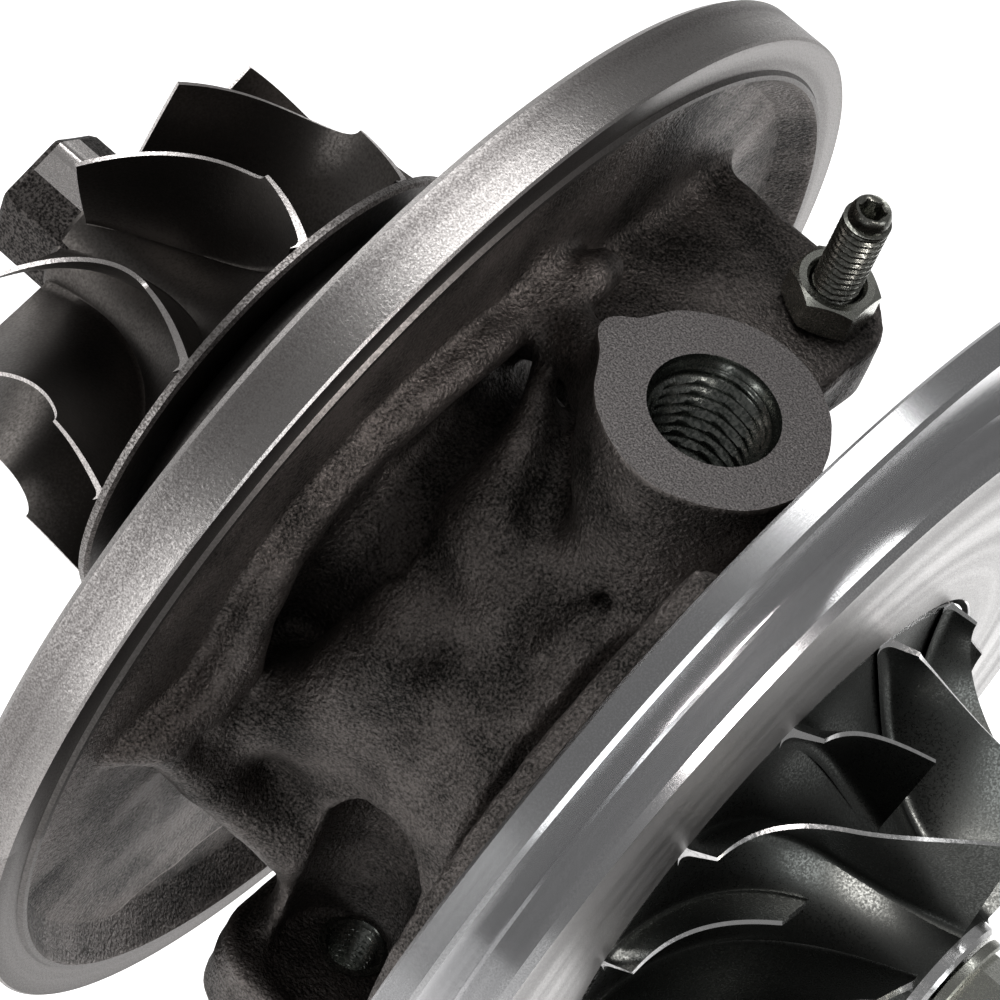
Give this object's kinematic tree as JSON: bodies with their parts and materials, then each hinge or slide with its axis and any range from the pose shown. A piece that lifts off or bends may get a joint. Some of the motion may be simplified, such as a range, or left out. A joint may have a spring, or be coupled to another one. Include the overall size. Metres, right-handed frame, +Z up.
{
  "type": "turbocharger cartridge",
  "caption": "Turbocharger core: cast bearing housing between a turbine flange and an aluminium backplate, with a bladed turbine wheel and a bladed compressor wheel on one shaft.",
  "frame": {"origin": "on the shaft axis, in the plane of the turbine flange's rear rim face", "axes": "+X along the shaft from the turbine wheel to the compressor wheel, +Z up through the oil inlet"},
  "size_m": [0.1292, 0.1278, 0.1278],
  "materials": {
    "cast_iron": "rough sand casting with machined faces",
    "machined_aluminium": "turned, bright",
    "turbine_alloy": "satin investment casting with bright ground blade edges",
    "wheel_aluminium": "dark satin with bright blade edges",
    "bright_steel": "ground or zinc bright steel",
    "spring_steel": "plain dark steel",
    "bearing_bronze": "bored bearing bronze",
    "black_rubber": "moulded O-ring"
  },
  "bodies": {
    "housing": {"bearing_housing": "cast_iron", "compressor_backplate": "machined_aluminium", "backplate_screw_1": "spring_steel", "backplate_screw_2": "spring_steel", "backplate_screw_3": "spring_steel", "backplate_screw_4": "spring_steel", "backplate_seal_ring": "black_rubber", "turbine_seal_ring": "spring_steel", "compressor_seal_ring": "spring_steel", "retaining_ring_outer_turbine": "spring_steel", "retaining_ring_inner_turbine": "spring_steel", "retaining_ring_inner_compressor": "spring_steel", "heat_shield": "spring_steel", "thrust_bearing": "bearing_bronze", "thrust_bearing_pin_left": "spring_steel", "thrust_bearing_pin_right": "spring_steel", "oil_deflector": "spring_steel"},
    "rotor": {"turbine_wheel": "turbine_alloy", "rotor_shaft": "bright_steel", "thrust_collar": "bright_steel", "oil_flinger": "bright_steel", "compressor_wheel": "wheel_aluminium", "shaft_nut": "bright_steel"},
    "turbine_bearing": {"journal_bearing_turbine": "bearing_bronze"},
    "compressor_bearing": {"journal_bearing_compressor": "bearing_bronze"},
    "stop_screw": {"stop_screw": "bright_steel"},
    "lock_nut": {"lock_nut": "bright_steel"}
  },
  "joints": [
    {"name": "rotor_spin", "type": "hinge", "parent": "housing", "child": "rotor", "pos_m": [0, 0, 0], "axis": [1, 0, 0], "continuous": true},
    {"name": "turbine_bearing_float", "type": "hinge", "parent": "housing", "child": "turbine_bearing", "pos_m": [-0.0054, 0, 0], "axis": [1, 0, 0], "continuous": true},
    {"name": "compressor_bearing_float", "type": "hinge", "parent": "housing", "child": "compressor_bearing", "pos_m": [0.0212, 0, 0], "axis": [1, 0, 0], "continuous": true},
    {"name": "stop_screw_travel", "type": "slide", "parent": "housing", "child": "stop_screw", "axis": [0, 0, 1], "range_m": [-0.003, 0.003]},
    {"name": "lock_nut_turn", "type": "hinge", "parent": "housing", "child": "lock_nut", "pos_m": [0.0156, 0.0302, 0.0298], "axis": [0, 0, 1], "continuous": true}
  ]
}
